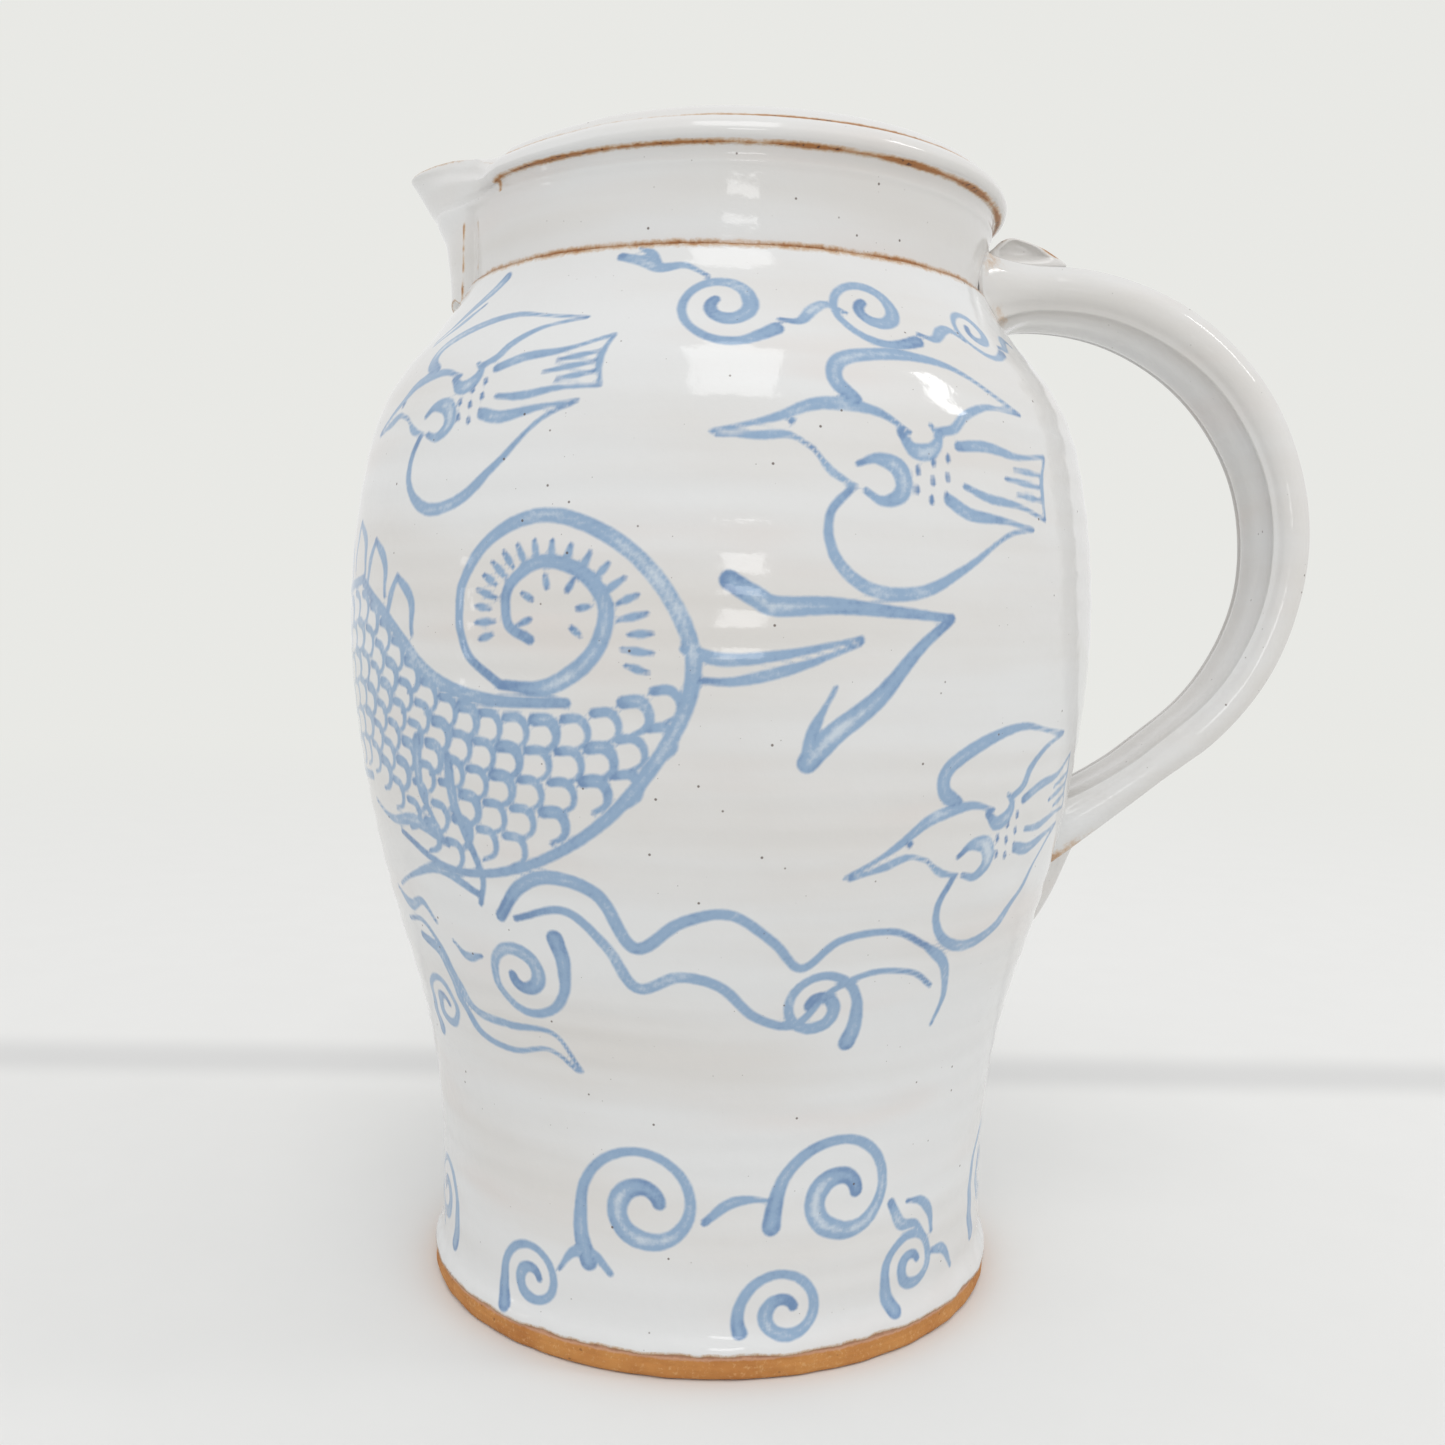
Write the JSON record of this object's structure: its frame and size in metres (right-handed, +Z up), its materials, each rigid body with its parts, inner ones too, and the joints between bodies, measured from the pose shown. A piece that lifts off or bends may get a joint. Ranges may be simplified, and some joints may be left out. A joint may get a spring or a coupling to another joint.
{
  "type": "pitcher",
  "caption": "Round-bellied glazed stoneware pitcher with a turned collar, small applied spout, tall strap handle and blue brushwork.",
  "frame": {"origin": "centre of the flat base, on the pot's turning axis, at the surface it stands on", "axes": "+Z up along the turning axis; the spout points to -X and the handle to +X"},
  "size_m": [0.2328, 0.1792, 0.265],
  "materials": {
    "white_glaze": "glossy warm white stoneware glaze, breaking to brown on sharp edges",
    "painted_glaze": "glossy white stoneware glaze with soft blue brushwork under it",
    "bare_clay": "unglazed toasted stoneware, matt and slightly gritty"
  },
  "bodies": {
    "root": {"foot": "bare_clay", "body_wall": "painted_glaze", "collar": "white_glaze", "rim": "white_glaze", "spout": "white_glaze", "handle": "white_glaze", "thumb_rest": "white_glaze", "handle_tail": "white_glaze"}
  },
  "joints": []
}
